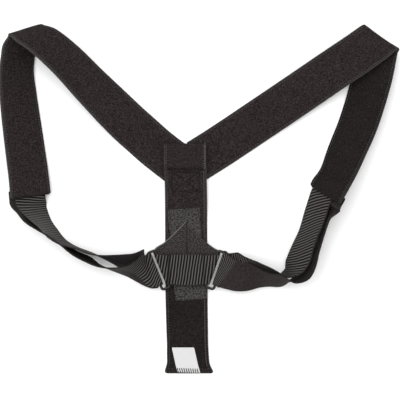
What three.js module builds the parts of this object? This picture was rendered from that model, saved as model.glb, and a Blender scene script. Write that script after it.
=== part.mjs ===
// A posture corrector lying on a flat surface, seen from its body side: two padded shoulder straps
// meet on a padded spine strip, and a webbing band across the back holds a ring at each side. From
// each ring a doubled side strap of webbing curves up to the front end of its shoulder strap.
// Millimetres, +Z up. The origin is at the bottom, in the middle of the spread.
import * as THREE from 'three';

// Overall spread. The plan places in the tables are shares of these two.
const reach = 235;
const halfHeight = 208.5;

// Padded straps: foam between two layers of cloth, with round edges
const foam = { width: 50, thick: 4, edgeSteps: 2 };
// Ribbed webbing of the side straps and of the centre band
const webbing = { width: 38, thick: 1.6, edgeSteps: 1 };
// Grip patch sewn to the spine strip, and the sewn label
const patch = { width: 38, thick: 1.2, edgeSteps: 1 };
const label = { width: 26, thick: 0.9, edgeSteps: 1 };
// Air between pieces that touch
const clearance = 0.35;

// Rings: a bent bar round a slot that two turns of webbing share
const barThick = 3.6;
const slotWidth = 6.4;
const ringEndSlack = 0.6;
const ringCorner = 2.6;
// Webbing gathers a little where it turns round a bar, and lies straight for a short lead beside it
const gather = 0.93;
const lead = 4;

// Turned-over top end of the spine strip
const turnOver = 26;

// Fineness of the sweeps
const stepLength = 9;
const stepTurn = THREE.MathUtils.degToRad(15);
const barSides = 8;

// Materials
const foamCloth = { color: '#312d2d', roughness: 0.95, metalness: 0 };
const ribbedWeb = { color: '#2b2727', roughness: 0.85, metalness: 0 };
const gripCloth = { color: '#484646', roughness: 0.95, metalness: 0 };
const ringPlastic = { color: '#141314', roughness: 0.35, metalness: 0 };
const labelCloth = { color: '#f0f0ee', roughness: 0.8, metalness: 0 };

// Each row of a strap's table is one place along it:
//   x, y     middle of the strap, as shares of reach and halfHeight
//   rise     height of its lower edge over the floor, as a share of its width
//   across   heading of the line across the strap, in degrees in plan
//   tip      how far that line points up, in degrees; -90 stands on edge
// A line across that isn't square to the strap is a slanted section of the same strap.

// From under the spine strip, out to the rolled shoulder fold, and down the front
const leftStrapRows = [
  { x: -0.225, y: 0.3, rise: 0, across: 49, tip: 0 },
  { x: -0.29, y: 0.365, rise: 0, across: 48, tip: 0 },
  { x: -0.37, y: 0.446, rise: 0.005, across: 46, tip: -5 },
  { x: -0.55, y: 0.65, rise: 0.03, across: 42, tip: -25 },
  { x: -0.665, y: 0.785, rise: 0.195, across: 43, tip: -33 },
  { x: -0.77, y: 0.888, rise: 0.32, across: 38, tip: -38 },
  { x: -0.828, y: 0.93, rise: 0.33, across: 30, tip: -36 },
  { x: -0.876, y: 0.951, rise: 0.27, across: 22, tip: -28 },
  { x: -0.887, y: 0.918, rise: 0.15, across: 15, tip: -32 },
  { x: -0.907, y: 0.83, rise: 0.02, across: 10, tip: -45 },
  { x: -0.917, y: 0.73, rise: 0.005, across: 6, tip: -45 },
  { x: -0.911, y: 0.6, rise: 0, across: 5, tip: -38 },
  { x: -0.883, y: 0.335, rise: 0, across: 6, tip: -30 },
  { x: -0.858, y: 0.13, rise: 0.07, across: 8, tip: -27 },
  { x: -0.847, y: 0.018, rise: 0.115, across: 8, tip: -25 },
];
const rightStrapRows = [
  { x: 0.1, y: 0.305, rise: 0, across: 124, tip: 0 },
  { x: 0.28, y: 0.44, rise: 0.02, across: 124, tip: 0 },
  { x: 0.505, y: 0.61, rise: 0.115, across: 124, tip: -3 },
  { x: 0.675, y: 0.74, rise: 0.22, across: 124, tip: -7 },
  { x: 0.8, y: 0.834, rise: 0.32, across: 124, tip: -9 },
  { x: 0.87, y: 0.891, rise: 0.315, across: 128, tip: -12 },
  { x: 0.895, y: 0.911, rise: 0.235, across: 136, tip: -18 },
  { x: 0.905, y: 0.911, rise: 0.115, across: 144, tip: -22 },
  { x: 0.905, y: 0.896, rise: 0.045, across: 155, tip: -20 },
  { x: 0.895, y: 0.869, rise: 0.025, across: 163, tip: -18 },
  { x: 0.86, y: 0.675, rise: 0.01, across: 163, tip: -25 },
  { x: 0.795, y: 0.435, rise: 0.02, across: 156, tip: -28 },
  { x: 0.735, y: 0.275, rise: 0.025, across: 153, tip: -33 },
  { x: 0.68, y: 0.135, rise: 0.1, across: 148, tip: -43 },
  { x: 0.63, y: 0.02, rise: 0.15, across: 145, tip: -50 },
];

// Side straps: the inner run goes from the shoulder strap's end to the ring, and the outer run back
const leftInnerRows = [
  { x: -0.828, y: -0.058, rise: 0.02, across: 22, tip: -48 },
  { x: -0.779, y: -0.131, rise: 0.015, across: 37, tip: -69 },
  { x: -0.739, y: -0.187, rise: 0.015, across: 47, tip: -73 },
  { x: -0.688, y: -0.237, rise: 0.005, across: 55, tip: -82 },
  { x: -0.62, y: -0.27, rise: 0.01, across: 62, tip: -90 },
  { x: -0.55, y: -0.3, rise: 0.015, across: 68, tip: -90 },
  { x: -0.49, y: -0.32, rise: 0.02, across: 70, tip: -97 },
  { x: -0.43, y: -0.335, rise: 0.06, across: 68, tip: -109 },
  { x: -0.36, y: -0.353, rise: 0.08, across: 62, tip: -130 },
  { x: -0.3, y: -0.38, rise: 0.06, across: 80, tip: -158 },
];
const leftOuterRows = [
  { x: -0.295, y: -0.4, rise: 0.27, across: 92, tip: -146 },
  { x: -0.36, y: -0.4, rise: 0.215, across: 85, tip: -113 },
  { x: -0.435, y: -0.39, rise: 0.16, across: 75, tip: -98 },
  { x: -0.505, y: -0.37, rise: 0.08, across: 70, tip: -90 },
  { x: -0.56, y: -0.335, rise: 0.04, across: 62, tip: -83 },
  { x: -0.625, y: -0.3, rise: 0.02, across: 58, tip: -85 },
  { x: -0.705, y: -0.232, rise: 0.015, across: 52, tip: -87 },
  { x: -0.776, y: -0.174, rise: 0.01, across: 45, tip: -83 },
  { x: -0.851, y: -0.107, rise: 0.01, across: 32, tip: -74 },
  { x: -0.868, y: -0.058, rise: 0.02, across: 20, tip: -60 },
];
const rightInnerRows = [
  { x: 0.582, y: -0.065, rise: 0.05, across: -28, tip: -129 },
  { x: 0.545, y: -0.18, rise: 0.15, across: -18, tip: -123 },
  { x: 0.514, y: -0.262, rise: 0.255, across: -20, tip: -126 },
  { x: 0.492, y: -0.328, rise: 0.34, across: -24, tip: -130 },
  { x: 0.467, y: -0.376, rise: 0.315, across: -39, tip: -122 },
  { x: 0.438, y: -0.408, rise: 0.21, across: -67, tip: -98 },
  { x: 0.397, y: -0.42, rise: 0.145, across: -98, tip: -88 },
  { x: 0.34, y: -0.395, rise: 0.085, across: -108, tip: -80 },
  { x: 0.275, y: -0.379, rise: 0.04, across: -102, tip: -68 },
  { x: 0.21, y: -0.38, rise: 0.005, across: -100, tip: -50 },
  { x: 0.165, y: -0.39, rise: 0.02, across: -105, tip: -22 },
];
const rightOuterRows = [
  { x: 0.2, y: -0.43, rise: 0.39, across: -106, tip: -15 },
  { x: 0.25, y: -0.44, rise: 0.315, across: -100, tip: -35 },
  { x: 0.3, y: -0.445, rise: 0.235, across: -97, tip: -55 },
  { x: 0.36, y: -0.455, rise: 0.19, across: -95, tip: -71 },
  { x: 0.42, y: -0.46, rise: 0.19, across: -90, tip: -80 },
  { x: 0.478, y: -0.447, rise: 0.21, across: -73, tip: -98 },
  { x: 0.514, y: -0.412, rise: 0.24, across: -48, tip: -114 },
  { x: 0.543, y: -0.358, rise: 0.22, across: -30, tip: -112 },
  { x: 0.573, y: -0.295, rise: 0.16, across: -21, tip: -99 },
  { x: 0.602, y: -0.215, rise: 0.08, across: -18, tip: -94 },
  { x: 0.636, y: -0.097, rise: 0.1, across: -24, tip: -97 },
  { x: 0.66, y: -0.045, rise: 0.22, across: -33, tip: -114 },
];

// Spine strip from its turned-over top to its hem. over counts the layers of padding below it,
// and wide is its width as a share of the strap's.
const spineRows = [
  { x: -0.075, y: 0.301, over: 1, wide: 1 },
  { x: -0.073, y: 0.17, over: 1, wide: 1 },
  { x: -0.07, y: -0.01, over: 1, wide: 1 },
  { x: -0.07, y: -0.07, over: 0.5, wide: 1 },
  { x: -0.07, y: -0.13, over: 0, wide: 1 },
  { x: -0.068, y: -0.55, over: 0, wide: 1 },
  { x: -0.063, y: -0.82, over: 0, wide: 0.98 },
  { x: -0.06, y: -0.918, over: 0, wide: 1 },
  { x: -0.056, y: -0.988, over: 0, wide: 1.07 },
];
// Patch and label lie on the spine strip
const patchRows = [
  { x: -0.082, y: -0.049, across: 4 },
  { x: -0.078, y: -0.114, across: 4 },
  { x: -0.072, y: -0.194, across: 4 },
  { x: -0.06, y: -0.384, across: 4 },
  { x: -0.043, y: -0.569, across: 4 },
];
const labelRows = [
  { x: -0.086, y: -0.839, across: 0 },
  { x: -0.068, y: -0.931, across: -2 },
  { x: -0.056, y: -0.983, across: -2 },
];

// The left and right shoulder straps meet under the spine strip, on this line
const seamX = -0.07 * reach;
const leftSeamRow = { y: 0.165, rise: 0, across: 90, tip: 0 };
const rightSeamRow = { y: 0.185, rise: 0, across: 90, tip: 0 };

// Rings: middle of the slot, heading of its bars, and the side on which the side strap leaves
const ringRows = {
  left: { x: -0.207, y: -0.397, heading: 112, outward: -1 },
  right: { x: 0.08, y: -0.397, heading: 71, outward: 1 },
};
// Where the turned-back tails of the band across the back meet
const tailMeetX = -0.066 * reach;
const bandSag = 0.9;

// Heights of the stack in the middle of the back
const padStep = foam.thick + clearance;
const patchTop = foam.thick + clearance + patch.thick;
const turnRadius = barThick / 2 + clearance + webbing.thick / 2;
const ringZ = patchTop + clearance + webbing.thick / 2 + turnRadius;

const up = new THREE.Vector3(0, 0, 1);

function flatHeading(degrees) {
  const angle = THREE.MathUtils.degToRad(degrees);
  return new THREE.Vector3(Math.cos(angle), Math.sin(angle), 0);
}

function sideVector(across, tip) {
  const angle = THREE.MathUtils.degToRad(tip);
  return flatHeading(across).multiplyScalar(Math.cos(angle)).addScaledVector(up, Math.sin(angle));
}

// Turns a table's row into a place on a strap: its middle and the line across it
function place(row, tape) {
  const side = sideVector(row.across, row.tip);
  const halfDepth = (tape.width * Math.abs(side.z) + tape.thick * Math.hypot(side.x, side.y)) / 2;
  const middle = new THREE.Vector3(row.x * reach, row.y * halfHeight, row.rise * tape.width + halfDepth);
  return { middle, side, wide: 1 };
}

// The section of a strap: a flat bar with round edges
function stripSection(tape) {
  const round = tape.thick / 2;
  const straight = tape.width / 2 - round;
  const outline = new THREE.Shape();
  outline.moveTo(-straight, -round);
  outline.lineTo(straight, -round);
  outline.absarc(straight, 0, round, -Math.PI / 2, Math.PI / 2);
  outline.lineTo(-straight, round);
  outline.absarc(-straight, 0, round, Math.PI / 2, Math.PI * 1.5);
  const points = outline.getPoints(tape.edgeSteps);
  return points.filter((point, i) => point.distanceTo(points[(i + 1) % points.length]) > round / 100);
}

// Rings of points joined into one closed skin, with a flat fan over each end. The two faces of a twisted
// strap are split along the same diagonal, so that it keeps its thickness.
function skin(sections, closed = false) {
  const positions = sections.flat().flatMap((point) => point.toArray());
  const count = sections[0].length;
  const spans = closed ? sections.length : sections.length - 1;
  const faces = [];
  for (let i = 0; i < spans; i += 1) {
    const near = i * count;
    const far = ((i + 1) % sections.length) * count;
    for (let k = 0; k < count; k += 1) {
      const next = (k + 1) % count;
      const [a, b, c, d] = [near + k, near + next, far + next, far + k];
      faces.push(...(k < count / 2 ? [a, b, c, a, c, d] : [a, b, d, b, c, d]));
    }
  }
  if (!closed) {
    const last = (sections.length - 1) * count;
    const caps = [sections[0], sections.at(-1)].map((ring) => {
      const middle = new THREE.Vector3();
      ring.forEach((point) => middle.addScaledVector(point, 1 / ring.length));
      positions.push(...middle.toArray());
      return positions.length / 3 - 1;
    });
    for (let k = 0; k < count; k += 1) {
      const next = (k + 1) % count;
      faces.push(caps[0], next, k, caps[1], last + k, last + next);
    }
  }
  const geometry = new THREE.BufferGeometry();
  geometry.setAttribute('position', new THREE.Float32BufferAttribute(positions, 3));
  geometry.setIndex(faces);
  geometry.computeVertexNormals();
  return geometry;
}

// Smooth run of frames through the places of a strap, closer together where it bends. Where the strap
// would sink into the floor, the floor lifts it. A slanted section is longer, down to leastSlant.
function framesAlong(places, tape, leastSlant = 0.7) {
  const path = new THREE.CatmullRomCurve3(places.map((at) => at.middle), false, 'centripetal');
  const sides = new THREE.CatmullRomCurve3(places.map((at) => at.side), false, 'catmullrom');
  const last = places.length - 1;
  const frames = [];
  const addFrame = (u, wide) => {
    const along = path.getTangent(u);
    const side = sides.getPoint(u).normalize();
    const face = new THREE.Vector3().crossVectors(along, side);
    const stretch = wide / Math.max(face.length(), leastSlant);
    face.normalize();
    const middle = path.getPoint(u);
    const depth = (tape.width * stretch * Math.abs(side.z) + tape.thick * Math.hypot(side.x, side.y)) / 2;
    middle.z = Math.max(middle.z, depth);
    frames.push({ middle, along, side, face, stretch });
  };
  for (let i = 0; i < last; i += 1) {
    const length = places[i].middle.distanceTo(places[i + 1].middle);
    const bend = path.getTangent(i / last).angleTo(path.getTangent((i + 1) / last));
    const twist = places[i].side.angleTo(places[i + 1].side);
    const steps = Math.ceil(Math.max(length / stepLength, bend / stepTurn, twist / stepTurn, 1));
    for (let k = 0; k < steps; k += 1) {
      const share = k / steps;
      addFrame((i + share) / last, THREE.MathUtils.lerp(places[i].wide, places[i + 1].wide, share));
    }
  }
  addFrame(1, places[last].wide);
  return frames;
}

function sweepStrip(places, tape, leastSlant) {
  const section = stripSection(tape);
  const sections = framesAlong(places, tape, leastSlant).map((frame) => section.map((point) => frame.middle.clone()
    .addScaledVector(frame.side, point.x * frame.stretch)
    .addScaledVector(frame.face, point.y)));
  return skin(sections);
}

function makeMesh(name, geometry, finish) {
  const mesh = new THREE.Mesh(geometry, new THREE.MeshStandardMaterial(finish));
  mesh.name = name;
  return mesh;
}

// One bar of a ring. inward is -1 for the outer bar and 1 for the bar next to the spine strip.
function ringBar(side, inward) {
  const row = ringRows[side];
  const along = flatHeading(row.heading);
  const outward = new THREE.Vector3().crossVectors(along, up).multiplyScalar(row.outward);
  const offset = -inward * (slotWidth + barThick) / 2;
  const middle = new THREE.Vector3(row.x * reach, row.y * halfHeight, ringZ).addScaledVector(outward, offset);
  return { middle, along, outward };
}

// Half a turn round a bar, with a short straight lead before and after it. The webbing comes in at
// startTurn and leaves at endTurn, in degrees from the top, over the side of the bar that faces the slot.
// creep is how far it moves along the bar.
function turnRound(bar, slotSide, side, creep, startTurn, endTurn) {
  const turn = [0, 0.25, 0.5, 0.75, 1].map((share) => {
    const angle = THREE.MathUtils.degToRad(THREE.MathUtils.lerp(startTurn, endTurn, share));
    const middle = bar.middle.clone()
      .addScaledVector(up, turnRadius * Math.cos(angle))
      .addScaledVector(slotSide, turnRadius * Math.sin(angle))
      .addScaledVector(bar.along, creep * (share - 0.5));
    return { middle, side, wide: gather };
  });
  const leadBack = bar.along.clone().multiplyScalar(-creep / (Math.PI * turnRadius));
  const leadIn = turn[0].middle.clone().addScaledVector(slotSide, -lead).addScaledVector(leadBack, lead);
  const leadOut = turn[4].middle.clone().addScaledVector(slotSide, -lead).addScaledVector(leadBack, -lead);
  return [{ middle: leadIn, side, wide: gather }, ...turn, { middle: leadOut, side, wide: gather }];
}

// Length that a strip creeps along a slanted bar in half a turn
function creepFor(heading) {
  return Math.PI * turnRadius * Math.tan(THREE.MathUtils.degToRad(Math.abs(90 - heading)));
}

// A place below the end of a shoulder strap's padding, some way back from the end. layer counts the
// thicknesses of webbing above it, and slide moves it sideways by a share of the webbing's width. Past the
// end, where back is below zero, it runs straight on.
function underEnd(frames, back, layer, slide) {
  let i = frames.length - 1;
  let passed = 0;
  let span = frames[i].middle.distanceTo(frames[i - 1].middle);
  while (passed + span < back) {
    passed += span;
    i -= 1;
    span = frames[i].middle.distanceTo(frames[i - 1].middle);
  }
  const share = (back - passed) / span;
  const [near, far] = [frames[i], frames[i - 1]];
  const depth = foam.thick / 2 + clearance + webbing.thick / 2 + layer * (webbing.thick + clearance);
  const below = near.face.clone().lerp(far.face, share).normalize();
  below.multiplyScalar(-depth * Math.sign(below.z));
  const side = near.side.clone().lerp(far.side, Math.max(share, 0)).normalize();
  const middle = near.middle.clone().lerp(far.middle, share).add(below);
  middle.addScaledVector(side, slide * webbing.width);
  return { middle, side, wide: 1 };
}

function strapPlaces(seamRow, rows, outward) {
  const first = place({ x: 0, ...seamRow }, foam);
  first.middle.x = seamX + outward * clearance / 2;
  return [first, ...rows.map((row) => place(row, foam))];
}

const shoulderPlaces = {
  left: strapPlaces(leftSeamRow, leftStrapRows, -1),
  right: strapPlaces(rightSeamRow, rightStrapRows, 1),
};

function shoulderStrap(side) {
  return makeMesh(`${side}_shoulder_strap`, sweepStrip(shoulderPlaces[side], foam), foamCloth);
}

// How far the two runs of a side strap reach back under the end of the padding, and run on straight
const underlap = { inner: 14, outer: 10 };
const endLead = 5;
// How far each run lies off the middle of the padding, as a share of the webbing's width
const endSlide = { left: [0, -0.16], right: [0.3, -0.12] };
// A side strap bunches up rather than slanting much
const sideSlant = 0.9;

function sideStrap(side) {
  const left = side === 'left';
  const strap = framesAlong(shoulderPlaces[side], foam);
  const backs = (run) => [underlap[run], underlap[run] / 2, 0, -endLead];
  const innerRows = left ? leftInnerRows : rightInnerRows;
  const outerRows = left ? leftOuterRows : rightOuterRows;
  const bar = ringBar(side, -1);
  const slotSide = bar.outward.clone().negate();
  const across = bar.along.clone().negate();
  const places = [
    ...backs('inner').map((back) => underEnd(strap, back, 0, endSlide[side][0])),
    ...innerRows.map((row) => place(row, webbing)),
    ...turnRound(bar, slotSide, across, 0, 180, 0),
    ...outerRows.map((row) => place(row, webbing)),
    ...backs('outer').map((back) => underEnd(strap, back, 1, endSlide[side][1])).reverse(),
  ];
  return makeMesh(`${side}_webbing`, sweepStrip(places, webbing, sideSlant), ribbedWeb);
}

// The band across the back, with a tail turned back from each ring up to the middle
function centreBand() {
  const height = ringZ + turnRadius;
  const turns = {};
  for (const side of ['left', 'right']) {
    const bar = ringBar(side, 1);
    const across = bar.along.clone().negate();
    turns[side] = turnRound(bar, bar.outward, across, creepFor(ringRows[side].heading), 0, 180);
  }
  const tail = (side) => {
    const end = turns[side].at(-1);
    const heading = 2 * ringRows[side].heading - (side === 'left' ? 180 : 0);
    const run = flatHeading(heading);
    const meetX = tailMeetX + ringRows[side].outward * clearance / 2;
    const length = (meetX - end.middle.x) / run.x;
    return [0.4, 1].map((share) => ({
      middle: end.middle.clone().addScaledVector(run, length * share),
      side: share === 1 ? new THREE.Vector3(0, -1, 0) : end.side,
      wide: 1,
    }));
  };
  const [nearLeft, nearRight] = [turns.left[0].middle, turns.right[0].middle];
  const across = [0.3, 0.5, 0.7].map((share) => ({
    middle: nearLeft.clone().lerp(nearRight, share).setZ(height - bandSag),
    side: sideVector(THREE.MathUtils.lerp(ringRows.left.heading, ringRows.right.heading, share) - 180, 0),
    wide: 1,
  }));
  const places = [
    ...tail('left').reverse(),
    ...turns.left.slice().reverse(),
    ...across,
    ...turns.right,
    ...tail('right'),
  ];
  return makeMesh('centre_band', sweepStrip(places, webbing), ribbedWeb);
}

// A ring: a round bar bent into a long loop with small corners
function ring(side) {
  const row = ringRows[side];
  const slant = Math.sin(THREE.MathUtils.degToRad(row.heading));
  const opening = webbing.width * gather / slant + creepFor(row.heading) + 2 * ringEndSlack;
  const halfLong = (opening + barThick) / 2;
  const halfShort = (slotWidth + barThick) / 2;
  const loop = new THREE.Shape();
  loop.moveTo(halfLong - ringCorner, -halfShort);
  loop.absarc(halfLong - ringCorner, -halfShort + ringCorner, ringCorner, -Math.PI / 2, 0);
  loop.absarc(halfLong - ringCorner, halfShort - ringCorner, ringCorner, 0, Math.PI / 2);
  loop.absarc(-halfLong + ringCorner, halfShort - ringCorner, ringCorner, Math.PI / 2, Math.PI);
  loop.absarc(-halfLong + ringCorner, -halfShort + ringCorner, ringCorner, Math.PI, Math.PI * 1.5);
  const corners = loop.getPoints(2);
  const points = corners.filter((point, i) => point.distanceTo(corners[(i + 1) % corners.length]) > 0.01);
  const sections = points.map((point, i) => {
    const before = points.at(i - 1);
    const after = points[(i + 1) % points.length];
    const along = new THREE.Vector2().subVectors(after, before).normalize();
    const out = new THREE.Vector3(along.y, -along.x, 0);
    return Array.from({ length: barSides }, (_, k) => {
      const angle = k / barSides * Math.PI * 2;
      return new THREE.Vector3(point.x, point.y, 0)
        .addScaledVector(out, barThick / 2 * Math.cos(angle))
        .addScaledVector(up, -barThick / 2 * Math.sin(angle));
    });
  });
  const mesh = makeMesh(`${side}_ring`, skin(sections, true), ringPlastic);
  mesh.position.set(row.x * reach, row.y * halfHeight, ringZ);
  mesh.rotation.z = THREE.MathUtils.degToRad(row.heading);
  return mesh;
}

const spinePlaces = spineRows.map((row) => ({
  middle: new THREE.Vector3(row.x * reach, row.y * halfHeight, row.over * padStep + foam.thick / 2),
  side: new THREE.Vector3(1, 0, 0),
  wide: row.wide,
}));

// The strip's top end rolls over and lies on the strip
function spineStrip() {
  const top = spinePlaces[0];
  const radius = (foam.thick + clearance) / 2;
  const roll = [180, 135, 90, 45, 0].map((degrees) => {
    const angle = THREE.MathUtils.degToRad(degrees);
    const middle = top.middle.clone();
    middle.y += radius * Math.sin(angle);
    middle.z += radius - radius * Math.cos(angle);
    return { middle, side: top.side, wide: 1 };
  });
  const flapEnd = roll[0].middle.clone();
  flapEnd.y -= turnOver;
  const places = [{ middle: flapEnd, side: top.side, wide: 1 }, ...roll, ...spinePlaces.slice(1)];
  return makeMesh('spine_strip', sweepStrip(places, foam), foamCloth);
}

// Height of the spine strip's middle at some place down the back
function spineHeight(y) {
  const run = framesAlong(spinePlaces, foam);
  const i = run.findIndex((frame, k) => k > 0 && (frame.middle.y <= y || k === run.length - 1));
  const share = (run[i - 1].middle.y - y) / (run[i - 1].middle.y - run[i].middle.y);
  return THREE.MathUtils.lerp(run[i - 1].middle.z, run[i].middle.z, share);
}

// A flat piece sewn on the face of the spine strip
function onSpine(name, rows, tape, finish) {
  const lift = foam.thick / 2 + clearance + tape.thick / 2;
  const places = [];
  const addPlace = (x, y, across) => {
    const middle = new THREE.Vector3(x * reach, y * halfHeight, spineHeight(y * halfHeight) + lift);
    places.push({ middle, side: flatHeading(across), wide: 1 });
  };
  rows.slice(1).forEach((row, i) => {
    const before = rows[i];
    const steps = Math.ceil((before.y - row.y) * halfHeight / stepLength);
    for (let k = 0; k < steps; k += 1) {
      const mix = (key) => THREE.MathUtils.lerp(before[key], row[key], k / steps);
      addPlace(mix('x'), mix('y'), mix('across'));
    }
  });
  const last = rows.at(-1);
  addPlace(last.x, last.y, last.across);
  return makeMesh(name, sweepStrip(places, tape), finish);
}

const corrector = new THREE.Group();
corrector.add(
  spineStrip(),
  shoulderStrap('left'),
  shoulderStrap('right'),
  onSpine('hook_patch', patchRows, patch, gripCloth),
  centreBand(),
  ring('left'),
  ring('right'),
  sideStrap('left'),
  sideStrap('right'),
  onSpine('care_label', labelRows, label, labelCloth),
);

// The origin: on the surface, in the middle of the spread
const spread = new THREE.Box3().setFromObject(corrector);
const centre = spread.getCenter(new THREE.Vector3());
corrector.position.set(-centre.x, -centre.y, -spread.min.z);

export default corrector;
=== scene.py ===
# %% [markdown]
# # A posture corrector, lying on a table
# Two padded shoulder straps meet on a padded spine strip. A webbing band across the back holds a slanted
# ring at each side, and a doubled side strap runs from each ring to the front end of its shoulder strap.
# The CAD model already has every strap at its real size and place, as a coarse solid. This lesson reads
# each strap's path from its solid, weaves a finer strip along it, sews and ribs it, scuffs its rings, and
# paints some light and shade into its cloth.

# %% Load the CAD model
import math

import bmesh
import bpy
import numpy as np
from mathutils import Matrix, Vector, noise


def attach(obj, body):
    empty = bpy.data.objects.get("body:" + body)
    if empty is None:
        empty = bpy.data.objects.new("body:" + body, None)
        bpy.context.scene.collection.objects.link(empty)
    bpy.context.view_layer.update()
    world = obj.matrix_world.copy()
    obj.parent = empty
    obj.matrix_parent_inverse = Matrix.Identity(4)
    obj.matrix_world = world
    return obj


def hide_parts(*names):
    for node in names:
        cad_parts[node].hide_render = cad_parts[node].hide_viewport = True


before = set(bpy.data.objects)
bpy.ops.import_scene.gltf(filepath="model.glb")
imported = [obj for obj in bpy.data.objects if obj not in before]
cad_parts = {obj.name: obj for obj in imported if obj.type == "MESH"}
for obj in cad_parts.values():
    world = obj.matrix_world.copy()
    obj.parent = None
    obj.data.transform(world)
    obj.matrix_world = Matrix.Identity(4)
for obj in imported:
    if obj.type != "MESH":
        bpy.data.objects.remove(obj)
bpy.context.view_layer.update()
MM = 0.001

# %% [markdown]
# ## Camera
# The brace was photographed from straight above with a long lens, so that nothing of it leans outwards.
# The picture is square and takes in a little more than the spread of the straps.

# %% Camera straight above
CAMERA_HEIGHT = 1.6
CAMERA_FORWARD = -0.0013
FIELD_WIDTH = 0.476


def overhead_camera():
    data = bpy.data.cameras.new("overhead")
    data.sensor_width = 36
    data.lens = data.sensor_width / 2 / (FIELD_WIDTH / 2 / CAMERA_HEIGHT)
    data.clip_end = 20
    camera = bpy.data.objects.new("overhead", data)
    camera.location = (0, CAMERA_FORWARD, CAMERA_HEIGHT)
    bpy.context.collection.objects.link(camera)
    bpy.context.scene.camera = camera
    return camera


overhead_camera()
print("lens in mm:", round(bpy.context.scene.camera.data.lens, 1))

# %% [markdown]
# ## Shader maths as expressions
# A material is a tree of nodes. Linking them one by one hides the idea, so one small class wraps an output
# socket: adding or multiplying two of them adds the Math node. Every other node comes from one method,
# which takes the node's type, its settings and what goes into its sockets.


# %% Wires
class Wire:
    """One output socket of a node tree, with arithmetic."""

    def __init__(self, graph, socket):
        self.graph = graph
        self.socket = socket

    def __add__(self, other):
        return self.graph.math("ADD", self, other)

    def __radd__(self, other):
        return self.graph.math("ADD", other, self)

    def __sub__(self, other):
        return self.graph.math("SUBTRACT", self, other)

    def __rsub__(self, other):
        return self.graph.math("SUBTRACT", other, self)

    def __mul__(self, other):
        return self.graph.math("MULTIPLY", self, other)

    def __rmul__(self, other):
        return self.graph.math("MULTIPLY", other, self)

    def __truediv__(self, other):
        return self.graph.math("DIVIDE", self, other)

    def __pow__(self, other):
        return self.graph.math("POWER", self, other)

    def clamp(self):
        return self.graph.node("ShaderNodeClamp", inputs={"Value": self})


print("wires ready")


# %% Graphs
class Graph:
    """A node tree that is written as expressions."""

    def __init__(self, tree):
        self.tree = tree

    def node(self, kind, settings=None, inputs=None, output=0):
        node = self.tree.nodes.new(kind)
        for name, value in (settings or {}).items():
            setattr(node, name, value)
        for key, value in (inputs or {}).items():
            if isinstance(value, Wire):
                self.tree.links.new(value.socket, node.inputs[key])
            else:
                node.inputs[key].default_value = value
        return Wire(self, node.outputs[output]) if node.outputs else None

    def math(self, operation, *values):
        return self.node("ShaderNodeMath", {"operation": operation}, dict(enumerate(values)))

    def noise(self, place, size, detail=2.0, stretch=(1, 1, 1)):
        """Noise whose grains are about size metres across."""
        scaled = self.node("ShaderNodeVectorMath", {"operation": "MULTIPLY"}, {0: place, 1: stretch})
        grains = {"Vector": scaled, "Scale": 1 / size, "Detail": detail}
        return self.node("ShaderNodeTexNoise", None, grains)

    def between(self, low, high, value):
        """0 below low and 1 above high, in a straight line between them."""
        return ((value - low) / (high - low)).clamp()

    def mix(self, share, first, second):
        return self.node("ShaderNodeMix", {"data_type": "RGBA"}, {0: share, 6: first, 7: second}, output=2)

    def attribute(self, name):
        return self.node("ShaderNodeAttribute", {"attribute_name": name}, output="Fac")


print("graphs ready")


# %% Finishes and greys
class Finish(Graph):
    """A material with one Principled shader."""

    def __init__(self, name):
        self.material = bpy.data.materials.new(name)
        self.material.use_nodes = True
        super().__init__(self.material.node_tree)
        self.tree.nodes.clear()

    def surface(self, **sockets):
        """Takes each socket of the shader by its name in small letters."""
        inputs = {}
        for name, value in sockets.items():
            inputs[name.replace("_", " ").title().replace("Ior", "IOR")] = value
        shader = self.node("ShaderNodeBsdfPrincipled", None, inputs)
        self.node("ShaderNodeOutputMaterial", None, {"Surface": shader})
        return self.material

    def bump(self, height, depth, strength=1.0):
        """Relief: height runs from 0 to 1 and depth is in metres."""
        relief = {"Height": height, "Distance": depth, "Strength": strength}
        return self.node("ShaderNodeBump", None, relief)


# dark cloth and thread reflect far less light than smooth plastic does
CLOTH_SHINE = 0.1
PLASTIC_SHINE = 0.3


def grey(level, warm=0.0):
    """A colour from its brightness on screen, 0 to 255, with a little red in it where warm is above 0."""
    return tuple(((value / 255 + 0.055) / 1.055) ** 2.4 for value in (level + warm, level, level)) + (1.0,)


print("shader helpers ready")

# %% [markdown]
# ## Floor and light
# A pale floor and soft light from all round show dark cloth best: a very large lamp overhead, a little to
# the upper left, gives the folds their lighter and darker sides, and the white surround fills the shadows.

# %% Floor and light
FLOOR_SIDE = 6.0
LAMP_SIDE = 2.6
LAMP_PLACE = (-0.45, 0.45, 2.3)
SURROUND = 0.8
LAMP_POWER = 60


def pale_floor():
    mesh = bpy.data.meshes.new("floor")
    half = FLOOR_SIDE / 2
    corners = [(-half, -half, 0), (half, -half, 0), (half, half, 0), (-half, half, 0)]
    mesh.from_pydata(corners, [], [(0, 1, 2, 3)])
    floor = bpy.data.objects.new("floor", mesh)
    bpy.context.collection.objects.link(floor)
    paper = Finish("floor_paper")
    place = paper.node("ShaderNodeTexCoord", output="Object")
    tone = paper.mix(paper.noise(place, 0.4), grey(247), grey(251))
    mesh.materials.append(paper.surface(base_color=tone, roughness=0.9))


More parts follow.
